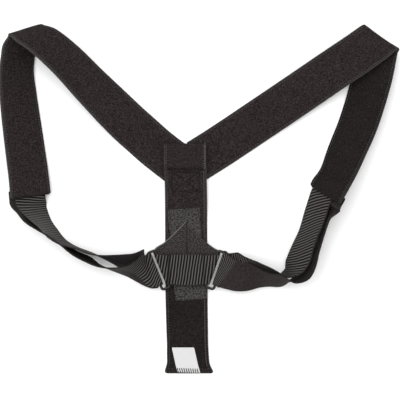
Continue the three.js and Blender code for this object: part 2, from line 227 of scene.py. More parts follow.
def soft_light():
    world = bpy.data.worlds.new("studio")
    world.use_nodes = True
    world.node_tree.nodes["Background"].inputs["Color"].default_value = (1, 1, 1, 1)
    world.node_tree.nodes["Background"].inputs["Strength"].default_value = SURROUND
    bpy.context.scene.world = world
    lamp = bpy.data.lights.new("overhead_lamp", "AREA")
    lamp.size = LAMP_SIDE
    lamp.energy = LAMP_POWER
    fixture = bpy.data.objects.new("overhead_lamp", lamp)
    fixture.location = LAMP_PLACE
    aim = -fixture.location
    fixture.rotation_euler = aim.to_track_quat("-Z", "Y").to_euler()
    bpy.context.collection.objects.link(fixture)
    bpy.context.scene.view_settings.view_transform = "Standard"


pale_floor()
soft_light()
print("floor and light ready")

# %% [markdown]
# ## Reading a strap's path from its solid
# Each CAD strap is a row of flat sections, closed by a fan at each end. The centre of such a fan is easy to
# find: it has as many edges as a section has corners, and the faces round it lie in one plane. From there
# the sections follow one after the other, as rings of neighbours. The two corners that lie furthest apart
# are the strap's edges. This keeps the finished strap exactly where the CAD put it, with no copied numbers.

# %% Stations along a CAD strap
FOAM_CORNERS = 10
TAPE_CORNERS = 6
SAME_PLACE = 0.01 * MM


def neighbours(vert):
    return {edge.other_vert(vert) for edge in vert.link_edges}


def section_rings(node, corners, first):
    """The sections of a strap, each as its corner points. first points towards the end to start from."""
    solid = bmesh.new()
    solid.from_mesh(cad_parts[node].data)
    bmesh.ops.remove_doubles(solid, verts=solid.verts, dist=SAME_PLACE)
    solid.normal_update()
    caps = []
    for vert in solid.verts:
        normals = [face.normal for face in vert.link_faces]
        flat = all(normal.dot(normals[0]) > 0.999 for normal in normals)
        if flat and len(vert.link_edges) == corners:
            caps.append(vert)
    start = max(caps, key=lambda vert: vert.co.dot(first))
    seen = set(caps)
    ring = neighbours(start)
    rings = []
    while ring:
        rings.append([vert.co.copy() for vert in ring])
        seen |= ring
        ring = {other for vert in ring for other in neighbours(vert)} - seen
    solid.free()
    return rings


def stations(node, corners, first):
    """Middle, half-width vector and face direction of each section."""
    rows = []
    rings = section_rings(node, corners, first)
    middles = [sum(ring, Vector()) / len(ring) for ring in rings]
    for i, ring in enumerate(rings):
        pairs = [(a, b) for k, a in enumerate(ring) for b in ring[k + 1:]]
        near, far = max(pairs, key=lambda pair: (pair[0] - pair[1]).length)
        side = (far - near) / 2
        along = middles[min(i + 1, len(rings) - 1)] - middles[max(i - 1, 0)]
        flat = side.normalized()
        offsets = [point - middles[i] for point in ring]
        rises = [offset - flat * offset.dot(flat) for offset in offsets]
        face = max(rises, key=lambda rise: rise.length).normalized()
        before = rows[-1][2] if rows else Vector((0, 0, 1))
        if face.dot(before) < 0:
            face = -face
        if side.dot(face.cross(along)) < 0:
            side = -side
        rows.append((middles[i], side, face))
    return rows


print("spine strip sections:", len(stations("spine_strip", FOAM_CORNERS, Vector((0, 1, 0)))))

# %% [markdown]
# ## A strap along its stations
# The stations are some millimetres apart. Cubic pieces through them give the strap a smooth run, which is
# then cut into short even steps. The object keeps the steps, because stitches are sewn on them later.
# Cloth that turns a corner spreads or narrows there. So a run can also be pulled wider near a few spots,
# and whatever is sewn on it follows.


# %% Smooth runs
# share of its width that a strap on its edge shows from above, below which a pull fades out
EDGEWISE = 0.2


def bell(away, width):
    """1 where away is 0, and less on both sides of it, smoothly down to 0."""
    return math.exp(-((away / width) ** 2))


class Run:
    """A strap's smooth path in even steps: distances, middles, half-width vectors and face directions."""

    def __init__(self, node, corners, first, step):
        rows = stations(node, corners, Vector(first))
        middles = np.array([row[0] for row in rows])
        spans = np.linalg.norm(np.diff(middles, axis=0), axis=1)
        knots = np.concatenate([[0], np.cumsum(spans)])
        self.length = float(knots[-1])
        self.at = np.linspace(0, self.length, math.ceil(self.length / step) + 1)
        self.middle = self.smooth(knots, middles)
        self.side = self.smooth(knots, np.array([row[1] for row in rows]))
        face = self.smooth(knots, np.array([row[2] for row in rows]))
        unit = self.side / np.linalg.norm(self.side, axis=1)[:, None]
        face -= unit * np.sum(face * unit, axis=1)[:, None]
        self.face = face / np.linalg.norm(face, axis=1)[:, None]
        self.half = float(np.median(np.linalg.norm(self.side, axis=1)))
        self.spots = []

    def smooth(self, knots, values):
        slopes = np.gradient(values, knots, axis=0)
        i = np.clip(np.searchsorted(knots, self.at) - 1, 0, len(knots) - 2)
        span = (knots[i + 1] - knots[i])[:, None]
        t = (self.at - knots[i])[:, None] / span
        start = (2 * t**3 - 3 * t**2 + 1) * values[i] + (t**3 - 2 * t**2 + t) * span * slopes[i]
        end = (3 * t**2 - 2 * t**3) * values[i + 1] + (t**3 - t**2) * span * slopes[i + 1]
        return start + end

    def point(self, distance, across, lift):
        """A place by its distance along the strap, across it and above its middle plane."""
        side = self.read(self.side, distance)
        place = self.read(self.middle, distance) + side * (across / self.half)
        return self.pulled(place, side, across) + self.normal(distance) * lift

    def read(self, values, distance):
        return Vector([np.interp(distance, self.at, values[:, axis]) for axis in range(3)])

    def normal(self, distance):
        return self.read(self.face, distance).normalized()

    def pull(self, rows):
        """Takes the spots to pull at: x, y, how far the pull reaches and by how much it widens, in mm."""
        self.spots = [[value * MM for value in row] for row in rows]

    def pulled(self, place, side, across):
        """Where a place ends up. The pull is level, and fades out where the strap stands on its edge."""
        pull = 0
        for x, y, reach, gain in self.spots:
            pull += gain * bell(math.hypot(place.x - x, place.y - y), reach)
        level = Vector((side.x, side.y, 0)) / side.length
        return place + level * (1 + EDGEWISE) / (level.length + EDGEWISE) * (pull * across / self.half)


print("runs ready")

# %% [markdown]
# ## A strip woven along a run
# The section of a strap is given by the distances from its edge at which it has points, and by a rule for
# its half thickness at each. A padded strap is full in the middle, pulled in where it is sewn and round at
# its edges. The ends close the same way, as an edge does. Each corner of a face keeps its place across and
# along the strap as its UV, in metres, so that a weave has its real scale.


# %% Section and ends of a strip
THINNEST_END = 0.08


def round_edged(half_thick):
    """Half thickness of an even strip with round edges, at each distance from its edge."""
    def thickness(inset):
        return half_thick * math.sqrt(1 - (1 - min(inset / half_thick, 1)) ** 2)

    return thickness


def outline_of(half, insets, thickness):
    """Places round a section, from its left edge along its lower face and back along its upper one."""
    across = [-half + inset for inset in insets] + [half - inset for inset in reversed(insets[:-1])]
    lower = [(place, -thickness(half - abs(place))) for place in across]
    upper = [(place, -lift) for place, lift in reversed(lower[1:-1])]
    return lower + upper


def close_ends(distance, length, radius):
    """How much of its thickness is left near a strap's end, and how far its edges have come in."""
    inward = min(distance, length - distance) / radius
    if inward >= 1:
        return 1.0, 0.0
    full = math.sqrt(max(1 - (1 - inward) ** 2, 0))
    return max(full, THINNEST_END), radius * (1 - full)


def tube_faces(rings, count):
    """Faces between neighbouring sections, and one over each end."""
    faces = []
    for i in range(rings - 1):
        for k in range(count):
            step = (k + 1) % count
            faces.append((i * count + k, i * count + step, (i + 1) * count + step, (i + 1) * count + k))
    faces.append(tuple(reversed(range(count))))
    faces.append(tuple(range((rings - 1) * count, rings * count)))
    return faces


print("points round a plain section:", len(outline_of(19 * MM, [0, 1 * MM, 19 * MM], round_edged(1 * MM))))

# %% Strip builder
# how many waves of each size a metre of cloth has, about, and the share of each
WAVES = {45: 0.7, 130: 0.3}
LEAST_LIFT = 0.5 * MM


def weave(name, run, insets, thickness, end_radius, ripple=0.0, roll=None):
    """A closed strip along a run.

    ripple is how far its faces wander outwards, in metres, and roll how much thicker a place is.
    """
    outline = outline_of(run.half, insets, thickness)
    verts = []
    places = []
    for i, distance in enumerate(run.at):
        full, drawn = close_ends(distance, run.length, end_radius)
        middle, side, face = (Vector(values[i]) for values in (run.middle, run.side, run.face))
        squeeze = 1 - drawn / run.half
        for across, lift in outline:
            spot = run.pulled(middle + side * (across / run.half * squeeze), side, across)
            wander = sum(noise.noise(spot * rate) * share for rate, share in WAVES.items())
            swell = 1 + abs(wander) * ripple / max(abs(lift), LEAST_LIFT) if lift else 1
            thick = roll(distance, lift) if roll else 1
            verts.append(spot + face * (lift * full * swell * thick))
            places.append((across, distance))
    mesh = bpy.data.meshes.new(name)
    mesh.from_pydata(verts, [], tube_faces(len(run.at), len(outline)))
    mesh.shade_smooth()
    cloth = mesh.uv_layers.new(name="cloth")
    for loop in mesh.loops:
        cloth.data[loop.index].uv = places[loop.vertex_index]
    piece = bpy.data.objects.new(name, mesh)
    bpy.context.collection.objects.link(piece)
    return piece, places


def settle(piece, node, finish):
    """Dresses a piece, and lets it stand for a CAD node."""
    piece.data.materials.append(finish)
    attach(piece, "root")
    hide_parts(node)
    print(piece.name, "has", len(piece.data.polygons), "faces")


print("strip builder ready")

# %% [markdown]
# ## Brushed cloth over foam
# The padded straps are a thin foam with a brushed loop cloth on both faces. From a metre away it is almost
# black and dead matt. Near its edges the colour is painted lighter, a painted sheen where the pile turns
# over an edge and catches the light. Close up it is a felt of short loops. A picture of such cloth would
# repeat itself along a strap, so the finish is built from noise in three sizes: slow warm and cool drifts,
# the pile's own grain, and lint.


# %% Foam cloth finish
def foam_cloth(name, seam_gap=None, shaded_after=None):
    """seam_gap gives the distance to the nearest sewn line, which pulls the cloth into a groove with painted
    shade in it.
    """
    cloth = Finish(name)
    place = cloth.node("ShaderNodeUVMap", {"uv_map": "cloth"})
    body = cloth.node("ShaderNodeTexCoord", output="Object")
    across = cloth.node("ShaderNodeSeparateXYZ", inputs={0: place})
    along = cloth.node("ShaderNodeSeparateXYZ", inputs={0: place}, output=1)
    edge = cloth.between(22.6 * MM, 24.8 * MM, cloth.math("ABSOLUTE", across))
    drift = cloth.noise(body, 30 * MM)
    pile = cloth.noise(body, 1.6 * MM, detail=3)
    grain = cloth.noise(place, 0.5 * MM, stretch=(1, 0.6, 1))
    lint = cloth.between(0.66, 0.74, cloth.noise(body, 2.2 * MM, detail=1))
    base = cloth.mix(cloth.between(0.3, 0.7, drift), grey(14, 6), grey(20, 5))
    base = cloth.mix(cloth.between(0.38, 0.68, pile) * 0.75, base, grey(48, 6))
    base = cloth.mix(lint * 0.35, base, grey(78, 3))
    # painted highlight: the cloth is painted lighter near both edges, a sheen where the pile turns over
    base = cloth.mix(edge * 0.7, base, grey(62, 3))
    relief = pile * 0.7 + grain * 0.3
    # darker past a given distance along the strap: painted shade where the right-hand strap leans away from
    # the lamp
    if shaded_after:
        base = cloth.mix(cloth.between(*shaded_after, along) * 0.5, base, grey(10, 4))
    if seam_gap:
        groove = 1 - cloth.between(0.2 * MM, 1.1 * MM, seam_gap(cloth, across, along))
        # painted shade: the cloth is painted darker in the groove along each sewn line
        base = cloth.mix(groove * 0.4, base, grey(5, 2))
        relief = relief - groove * 0.8
    normal = cloth.bump(relief, 0.35 * MM, 0.9)
    return cloth.surface(base_color=base, roughness=0.95, specular_ior_level=CLOTH_SHINE, normal=normal)


foam_finish = foam_cloth("foam_cloth")
print("finish:", foam_finish.name)

# %% [markdown]
# ## Padded straps
# Both shoulder straps and the spine strip are made the same way: full in the middle, drawn in along the
# seam that runs 3 mm inside each edge, and round outside it. A flat strip with a bump map would show none
# of this along its outline, so the section itself has the seam and the round edge.

# %% Section of a padded strap
FOAM_HALF_THICK = 2.0 * MM
FOAM_INSETS = [value * MM for value in (0, 0.15, 0.5, 1.1, 1.8, 2.5, 3, 3.5, 4.2, 6, 9, 13, 18, 25)]
SEAM_INSET = 3.0 * MM
SEAM_DEPTH = 0.5 * MM
SEAM_WIDE = 0.45 * MM
CROWN = 0.1
CROWN_WIDE = 20 * MM
foam_edge = round_edged(FOAM_HALF_THICK)


def foam_thickness(inset):
    crown = 1 - CROWN * (1 - min(inset / CROWN_WIDE, 1)) ** 2
    return foam_edge(inset) * crown - SEAM_DEPTH * bell(inset - SEAM_INSET, SEAM_WIDE)


print("half thickness in mm at the seam:", round(foam_thickness(SEAM_INSET) / MM, 2))

# %% Hems
# distances from the strap's end: how deep the hem is, where it is thickest and where its seam draws it in
HEM_DEPTH = 5 * MM
HEM_FULL = 2.4 * MM
HEM_SEAM = 5.6 * MM
HEM_SWELL = 0.3


def rolled_hem(run, both_faces=True):
    """The end is turned in, which makes it thicker, and its seam draws it in just above."""
    def roll(distance, lift):
        if lift > 0 and not both_faces:
            return 1.0
        inward = run.length - distance
        return 1 + HEM_SWELL * (bell(inward - HEM_FULL, 1.8 * MM) - bell(inward - HEM_SEAM, 0.8 * MM))

    return roll


def padded_strap(name, finish, roll, spots):
    run = runs[name]
    run.pull(spots)
    insets = FOAM_INSETS[:-1] + [run.half]
    piece, _ = weave(f"{name}_cloth", run, insets, foam_thickness, 2.5 * MM, 0.12 * MM, roll)
    settle(piece, name, finish)


print("a hem is", HEM_DEPTH / MM, "mm deep")

# %% Shoulder straps
runs = {
    "left_shoulder_strap": Run("left_shoulder_strap", FOAM_CORNERS, (1, 0, 0), 2.0 * MM),
    "right_shoulder_strap": Run("right_shoulder_strap", FOAM_CORNERS, (-1, 0, 0), 2.0 * MM),
    "spine_strip": Run("spine_strip", FOAM_CORNERS, (0, 1, 0), 1.0 * MM),
}
# x, y, reach and gain in mm: the left-hand fold is rounded at its corners, and the right-hand strap's
# front end has spread sideways
STRAP_SPOTS = {
    "left_shoulder_strap": [(-232, 195, 13, -9), (-186, 209, 11, -4)],
    "right_shoulder_strap": [(133, 18, 14, 6)],
}
# past its crest the right-hand strap leans away from the lamp, and over this length painted shade makes it
# darker
DARKENING = 50 * MM
right_run = runs["right_shoulder_strap"]
right_crest = float(right_run.at[int(np.argmax(right_run.middle[:, 1]))])
leaning = (right_crest, right_crest + DARKENING)
STRAP_FINISHES = {
    "left_shoulder_strap": foam_finish,
    "right_shoulder_strap": foam_cloth("foam_cloth_painted_shade", shaded_after=leaning),
}
for name, spots in STRAP_SPOTS.items():
    padded_strap(name, STRAP_FINISHES[name], rolled_hem(runs[name]), spots)
print("lengths in mm:", {name: round(run.length / MM) for name, run in runs.items()})

# %% [markdown]
# ## Spine strip
# The first part of the spine strip's path is its turned-over top. Below the fold the upper face is the one
# that the path calls the lower one. A box with a cross is sewn there through all the layers, and pulls the
# cloth into shallow grooves. Cut into the mesh they would need very fine faces, so the finish works out the
# distance to the nearest sewn line, sinks there and paints shade into the groove. At the lower end the cloth
# is turned in and makes a thick hem, which shows along the outline, so that one is shape.

# %% Spine strip with its sewn box and its hem
BOX_HALF = 16 * MM
BOX_LONG = 24 * MM
BOX_GAP = 3 * MM
# x, y, reach and gain in mm: the hem is a little wider than the strip above it
HEM_SPOTS = [(13, -206, 6, 2.5), (-39, -205, 6, 2)]
# between these places, in metres along y, the strip gets darker towards its lower end
SPINE_DARKENING = (-0.03, -0.12)
spine = runs["spine_strip"]


def spine_distance(y):
    """Distance along the spine strip of a place below its turned-over top."""
    return spine.length - (y - float(spine.middle[-1][1]))


BOX_TOP = spine_distance(float(spine.middle[0][1])) + BOX_GAP


def box_gap(cloth, across, along):
    """Distance to the nearest line of the box or of its cross."""
    aside = cloth.math("ABSOLUTE", across)
    away = cloth.math("ABSOLUTE", along - (BOX_TOP + BOX_LONG / 2))
    beyond = cloth.math("MAXIMUM", aside - BOX_HALF, away - BOX_LONG / 2)
    slope = math.hypot(BOX_HALF, BOX_LONG / 2)
    diagonal = cloth.math("ABSOLUTE", aside * (BOX_LONG / 2) - away * BOX_HALF) / slope
    cross = diagonal + cloth.math("MAXIMUM", beyond, 0.0)
    return cloth.math("MINIMUM", cloth.math("ABSOLUTE", beyond), cross)


spine_finish = foam_cloth("spine_cloth", box_gap, [spine_distance(y) for y in SPINE_DARKENING])
padded_strap("spine_strip", spine_finish, rolled_hem(spine, both_faces=False), HEM_SPOTS)

# %% [markdown]
# ## Ribbed webbing
# The webbing is woven with fat ribs that run across it, slanted one way on one face and the other way on
# the other. Where a rib passes is a rule of the distance along the strap and across it, so each vertex
# keeps the number of ribs passed so far, and the shader turns it into a wave: a bump, with the crests
# painted light and the gaps between them painted dark, as painted highlight and shade. Ribs cut into the
# mesh would take ten times the faces and look no better from here. A loop tape covers the part of each side
# strap that fastens on the patch, and there the ribs end.


# %% Webbing finish
def webbing_finish():
    web = Finish("ribbed_webbing")
    place = web.node("ShaderNodeUVMap", {"uv_map": "cloth"})
    body = web.node("ShaderNodeTexCoord", output="Object")
    across = web.math("ABSOLUTE", web.node("ShaderNodeSeparateXYZ", inputs={0: place}))
    selvedge = web.between(17.4 * MM, 18.2 * MM, across)
    loop_tape = web.attribute("loop_tape")
    painted_sheen = web.attribute("painted_sheen")
    fine = web.attribute("fine_twill")
    shaded = web.attribute("shaded")
    drift = web.noise(body, 12 * MM)
    thread = web.noise(place, 0.45 * MM, stretch=(1, 0.5, 1))
    rib = web.attribute("rib") + (drift - 0.5) * 0.5
    crest = web.math("COSINE", rib * math.tau) * 0.5 + 0.5
    ribbed = (1 - loop_tape) * (1 - selvedge)
    depth = ribbed * (1 - fine * 0.8)
    # painted highlight and shade: the rib crests are painted light and the gaps between them nearly black
    ribs = web.mix(crest**2.4 * (0.65 + 0.5 * thread), grey(3, 1), grey(88, 5))
    plain = web.mix(web.between(0.3, 0.7, web.noise(body, 1.4 * MM, detail=3)), grey(16, 5), grey(44, 6))
    speck = web.between(0.4, 0.6, web.noise(place, 1.5 * MM, detail=1))
    between_ribs = web.mix(speck, grey(14, 4), grey(56, 4))
    tone = web.mix(depth, web.mix(ribbed, plain, between_ribs), ribs)
    # painted sheen: a stretch of the upper face is painted lighter where the light grazes it
    tone = web.mix(painted_sheen * 0.75, tone, grey(80, 3))
    # painted highlight: a light line along the edge of the band's tails
    edge_highlight = web.attribute("edge_highlight") * web.between(17.8 * MM, 18.5 * MM, across)
    tone = web.mix(edge_highlight, tone, grey(98, 3))
    # painted shade: in the fold of the right-hand strap and where the band dips
    tone = web.mix(shaded, tone, grey(6, 2))
    height = crest * depth + thread * 0.25
    normal = web.bump(height, 0.6 * MM, 0.9)
    return web.surface(base_color=tone, roughness=0.8, specular_ior_level=CLOTH_SHINE, normal=normal)


web_finish = webbing_finish()
print("finish:", web_finish.name)

# %% Webbing strips
WEB_HALF_THICK = 0.8 * MM
WEB_INSETS = [value * MM for value in (0, 0.15, 0.4, 0.8, 1.4, 2.4, 4, 7, 10, 13, 16, 19)]


def mark(piece, name, values):
    """Keeps one number for each vertex, which a finish reads by its name."""
    layer = piece.data.attributes.new(name, "FLOAT", "POINT")
    layer.data.foreach_set("value", np.array(values, dtype=np.float32))


def webbing_strip(name, run, rules, end_radius=WEB_HALF_THICK):
    """Each rule takes the run, the place across it, the distance along it and which face it is."""
    insets = WEB_INSETS[:-1] + [run.half]
    piece, places = weave(f"{name}_cloth", run, insets, round_edged(WEB_HALF_THICK), end_radius)
    count = len(places) // len(run.at)
    lower = (count + 2) // 2
    faces = [-1 if i % count < lower else 1 for i in range(len(places))]
    for title, rule in rules.items():
        mark(piece, title, [rule(run, *place, face) for place, face in zip(places, faces)])
    settle(piece, name, web_finish)


def web_run(name, first):
    return Run(name, TAPE_CORNERS, first, 1.0 * MM)


print("points on each side of a webbing section:", len(WEB_INSETS))

# %% [markdown]
# ## Band across the back
# The band joins the two rings. Behind each ring's inner bar it turns back, and the two tails come out above
# it like a small roof. Ribs that follow the strap would bunch up in the turns, where they are hidden, so on
# the main part they follow x and y instead. The tails are a finer weave, with ribs that lie steeper.

# %% Centre band
BAND_PITCH = 3.4 * MM
BAND_SLANT = 0.14
TAIL_PITCH = 2.2 * MM
TAIL_SLANT = 1.1
# how strong the painted highlight along the edge of each tail is
LEFT_TAIL_HIGHLIGHT = 0.85
RIGHT_TAIL_HIGHLIGHT = 0.2
# a second layer of webbing ends below these places, where the upper one dips and is painted with shade: x
# and how dark it gets
BAND_STEPS = {-37 * MM: 0.85, 4.5 * MM: 0.5}
STEP_WIDE = 1.5 * MM
# x, y, reach and gain in mm: the corners at the rings, and the top of the right-hand tail
BAND_SPOTS = [(-52, -60, 9, 4.5), (22, -61, 9, 2.5), (-11, -32, 6, 3)]
band = web_run("centre_band", (-1, 0, 0))
band.pull(BAND_SPOTS)
left_turn, right_turn = (band.at[int(find(band.middle[:, 0]))] for find in (np.argmin, np.argmax))


def on_tail(distance):
    return not left_turn < distance < right_turn


def band_ribs(run, across, distance, face):
    if on_tail(distance):
        return (distance + TAIL_SLANT * across) / TAIL_PITCH
    spot = run.point(distance, across, 0)
    return (spot.x - BAND_SLANT * spot.y) / BAND_PITCH


def band_fine(run, across, distance, face):
    return 1.0 if on_tail(distance) else 0.0


def band_shade(run, across, distance, face):
    if on_tail(distance):
        return 0.0
    spot = run.point(distance, across, 0)
    return max(dark * bell(spot.x - x, STEP_WIDE) for x, dark in BAND_STEPS.items())


def band_edge_highlight(run, across, distance, face):
    """The left-hand tail has a painted highlight along its edge, and the right-hand one hardly."""
    if not on_tail(distance):
        return 0.0
    return LEFT_TAIL_HIGHLIGHT if distance < left_turn else RIGHT_TAIL_HIGHLIGHT


BAND_RULES = {"rib": band_ribs, "fine_twill": band_fine, "shaded": band_shade, "edge_highlight": band_edge_highlight}
webbing_strip("centre_band", band, BAND_RULES, end_radius=0.15 * MM)
print("band length in mm:", round(band.length / MM))

# %% [markdown]
# ## Side straps
# A side strap leaves the padding, goes round the ring and comes back, so the ring is near the middle of its
# length: it is the place that lies nearest to the middle of the back. From a little past it the loop tape
# covers the webbing on both faces. Both straps are one function, and a table says how they differ.

# %% How the side straps differ
# x, y, reach and gain in mm: here the two layers of the right-hand strap close up in a fold, painted with
# shade
FOLD = (95, -91, 13, 7)
FOLD_SHADE = 0.8
# inner is the stretch before the ring and outer the one after it. pitch is the width of a rib, and slant
# how far it runs along the strap for each step across it, on the upper face (1) and the lower one (-1).
# The tape starts tape_after past the ring, on a slant of its own. The next entry is a stretch of the upper
# face, from its start to its end, that is painted lighter: a painted sheen where the light grazes it. spots
# are x, y, reach and gain in mm, where the strap has been pulled wider.
SIDE_STRAPS = {
    "left": {
        "first": (1, 0, 0),
        "inner": {"pitch": 3.2 * MM, "slant": {1: -0.2, -1: 0.65}},
        "outer": {"pitch": 4.1 * MM, "slant": {1: -1.0, -1: 1.0}},
        "tape_after": 36 * MM,
        "tape_slant": 1.05,
        "painted_sheen": (14 * MM, 95 * MM),
        "spots": [(-59, -65, 8, 9)],
    },
    "right": {
        "first": (-1, 0, 0),
        "inner": {"pitch": 3.9 * MM, "slant": {1: 0.6, -1: -0.65}},
        "outer": {"pitch": 3.3 * MM, "slant": {1: 1.2, -1: -1.2}},
        "tape_after": 14 * MM,
        "tape_slant": 0.32,
        "painted_sheen": (0, 0),
        "spots": [(33, -63, 10, 2), (28, -67, 8, 6.5), FOLD],
    },
}
print("tape starts past the rings, in mm:", [shape["tape_after"] / MM for shape in SIDE_STRAPS.values()])

# %% Side straps
TAPE_BLEND = 1.0 * MM


def side_rules(shape, turn):
    """The rules of one side strap, which turns round its ring at the distance turn."""
    start, end = shape["painted_sheen"]

    def ribs(run, across, distance, face):
        half = shape["inner"] if distance < turn else shape["outer"]
        return (distance + half["slant"][face] * across) / half["pitch"]

    def tape(run, across, distance, face):
        upward = math.copysign(across, across * float(np.interp(distance, run.at, run.side[:, 1])))
        past = distance - turn - shape["tape_after"] - shape["tape_slant"] * upward
        return min(max(past / TAPE_BLEND, 0), 1)

    # painted sheen, strongest in the middle of its stretch and towards one edge
    def painted_sheen_share(run, across, distance, face):
        if face < 0 or not start < distance < end:
            return 0.0
        share = (distance - start) / (end - start)
        return math.sin(math.pi * share) ** 2 * (0.6 - 0.4 * across / run.half)

    def shade(run, across, distance, face):
        if FOLD not in shape["spots"] or distance >= turn:
            return 0.0
        x, y, reach, _ = (value * MM for value in FOLD)
        spot = run.point(distance, across, 0)
        return FOLD_SHADE * bell(math.hypot(spot.x - x, spot.y - y), reach)

    return {"rib": ribs, "loop_tape": tape, "painted_sheen": painted_sheen_share, "shaded": shade}


for side, shape in SIDE_STRAPS.items():
    run = web_run(f"{side}_webbing", shape["first"])
    run.pull(shape["spots"])
    ring_turn = float(run.at[int(np.argmin(np.abs(run.middle[:, 0])))])
    webbing_strip(f"{side}_webbing", run, side_rules(shape, ring_turn))
    print(side, "side strap in mm:", round(run.length / MM), "with its ring at", round(ring_turn / MM))

# %% [markdown]
# ## Rings
# Each ring is one moulded plastic bar bent to a long loop. It could be swept again along a curve, but the
# CAD ring is right and only faceted, so a merged copy of it gets a subdivision surface, which makes its bar
# round.


# %% Rings
def ring_plastic():
    plastic = Finish("ring_plastic")
    body = plastic.node("ShaderNodeTexCoord", output="Object")
    scuff = plastic.between(0.55, 0.75, plastic.noise(body, 1.5 * MM, detail=4))
    tone = plastic.mix(scuff, grey(8), grey(30))
    rough = 0.3 + scuff * 0.25
    normal = plastic.bump(plastic.noise(body, 3 * MM), 0.08 * MM, 0.4)
    return plastic.surface(base_color=tone, roughness=rough, specular_ior_level=PLASTIC_SHINE, normal=normal)


plastic_finish = ring_plastic()


def moulded_ring(node):
    shape = bmesh.new()
    shape.from_mesh(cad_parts[node].data)
    bmesh.ops.remove_doubles(shape, verts=shape.verts, dist=SAME_PLACE)
    mesh = bpy.data.meshes.new(f"{node}_moulded")
    shape.to_mesh(mesh)
    shape.free()
    mesh.shade_smooth()
    piece = bpy.data.objects.new(f"{node}_moulded", mesh)
    bpy.context.collection.objects.link(piece)
    rounding = piece.modifiers.new("rounding", "SUBSURF")
    rounding.levels = 2
    rounding.render_levels = 2
    settle(piece, node, plastic_finish)


for side in ("left", "right"):
    moulded_ring(f"{side}_ring")

# %% [markdown]
# ## Grip patch
# The patch is a tape of short stiff hooks, sewn flat on the spine strip. It is greyer than the cloth,
# because the hooks catch the light. Hooks alone, set on a smooth face, would look like bristles on plastic,
# so the face under them has the same spots and clumps in its finish.


# %% Grip patch
def grip_tape():
    grip = Finish("grip_tape")
    place = grip.node("ShaderNodeUVMap", {"uv_map": "cloth"})
    body = grip.node("ShaderNodeTexCoord", output="Object")
    hooks = grip.node("ShaderNodeTexVoronoi", {"feature": "F1"}, {"Vector": place, "Scale": 1 / (1.5 * MM)})
    tip = 1 - grip.between(0.1, 0.55, hooks)
    drift = grip.noise(body, 9 * MM)
    clump = grip.between(0.35, 0.65, grip.noise(place, 2.2 * MM, detail=1))
    # painted highlight: the hook tips and clumps are painted lighter, where the hooks catch the light
    tone = grip.mix(tip * 0.35 + clump * 0.65, grey(8, 3), grey(84, 4))
    tone = grip.mix(drift * 0.25, tone, grey(40, 4))
    normal = grip.bump(tip, 0.4 * MM, 0.8)
    return grip.surface(base_color=tone, roughness=0.8, specular_ior_level=CLOTH_SHINE, normal=normal)


PATCH_HALF_THICK = 0.6 * MM
THIN_INSETS = [value * MM for value in (0, 0.2, 0.6, 1.2, 2, 3, 5, 8)]


def flat_piece(name, half_thick, finish):
    """A thin flat piece that lies on the spine strip."""
    run = Run(name, TAPE_CORNERS, (0, 1, 0), 1.5 * MM)
    insets = THIN_INSETS + [run.half]
    piece, _ = weave(f"{name}_cloth", run, insets, round_edged(half_thick), half_thick)
    settle(piece, name, finish)
    return run


patch = flat_piece("hook_patch", PATCH_HALF_THICK, grip_tape())

# %% [markdown]
# ## Label
# A white label of woven tape is sewn on at the hem. It is a thin flat piece as the patch is, and its finish
# is the product of two waves, one for each direction of the threads.


# %% Label
LABEL_THREADS = 0.5 * MM


def label_tape():
    tape = Finish("label_tape")
    place = tape.node("ShaderNodeUVMap", {"uv_map": "cloth"})
    across = tape.node("ShaderNodeSeparateXYZ", inputs={0: place})
    along = tape.node("ShaderNodeSeparateXYZ", inputs={0: place}, output=1)
    weft = tape.math("SINE", across * (math.tau / LABEL_THREADS))
    warp = tape.math("SINE", along * (math.tau / LABEL_THREADS))
    weave_height = weft * warp * 0.5 + 0.5
    tone = tape.mix(tape.noise(place, 6 * MM), grey(190), grey(199))
    normal = tape.bump(weave_height, 0.12 * MM, 0.5)
    return tape.surface(base_color=tone, roughness=0.7, specular_ior_level=CLOTH_SHINE, normal=normal)


label = flat_piece("care_label", 0.45 * MM, label_tape())

# %% [markdown]
# ## Sewing
# Every seam is the same thing again and again: a short loop of thread, laid along a line and pulled down
# into the cloth. A Geometry Nodes tree makes it from a line: the line is cut at an even pitch, a small
# rounded thread is placed at each cut, turned along the line and towards the cloth's own face, and the
# threads become one plain mesh. The line carries the direction of the face as an attribute called up.
# Sewn this way, every seam can have its own pitch and thread, and none is placed by hand.


